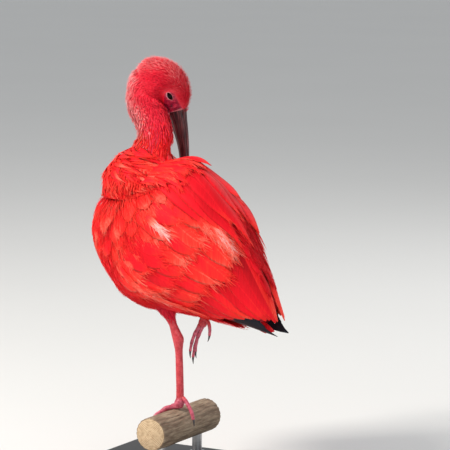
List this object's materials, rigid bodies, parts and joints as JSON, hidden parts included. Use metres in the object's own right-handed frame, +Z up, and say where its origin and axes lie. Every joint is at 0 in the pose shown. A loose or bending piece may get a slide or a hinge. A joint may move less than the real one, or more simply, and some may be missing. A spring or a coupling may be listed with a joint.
{
  "type": "scarlet ibis",
  "caption": "Life-size still model of a scarlet ibis preening on one leg, on a short cut branch held by a plain stand.",
  "frame": {"origin": "middle of the underside of the stand's base plate", "axes": "+Z up, -X the way the bird's body heads, -Y the bird's left side"},
  "size_m": [0.2543, 0.1511, 0.4901],
  "materials": {
    "scarlet": "satin",
    "neck": "matte",
    "face": "satin",
    "bill": "satin",
    "leg": "satin",
    "toe": "satin",
    "claw": "gloss",
    "eye": "gloss",
    "bark": "matte",
    "stand_paint": "satin",
    "stand_steel": "satin"
  },
  "bodies": {
    "root": {"bill_lower": "bill", "bill_upper": "bill", "claw_left_hallux": "claw", "claw_left_inner": "claw", "claw_left_middle": "claw", "claw_left_outer": "claw", "claw_right_hallux": "claw", "claw_right_inner": "claw", "claw_right_middle": "claw", "claw_right_outer": "claw", "eye_left": "eye", "eye_right": "eye", "foot_left": "toe", "hallux_left": "toe", "hallux_right": "toe", "head": "face", "mantle": "scarlet", "neck_lower": "neck", "neck_upper": "neck", "perch": "bark", "shin_left": "leg", "stand_base": "stand_paint", "stand_rod_back": "stand_steel", "stand_rod_front": "stand_steel", "tail": "scarlet", "tarsus_left": "leg", "tarsus_right": "leg", "thigh_left": "scarlet", "toe_left_inner": "toe", "toe_left_middle": "toe", "toe_left_outer": "toe", "toe_right_inner": "toe", "toe_right_middle": "toe", "toe_right_outer": "toe", "torso": "scarlet", "wing_left": "scarlet", "wing_right": "scarlet"}
  },
  "joints": []
}
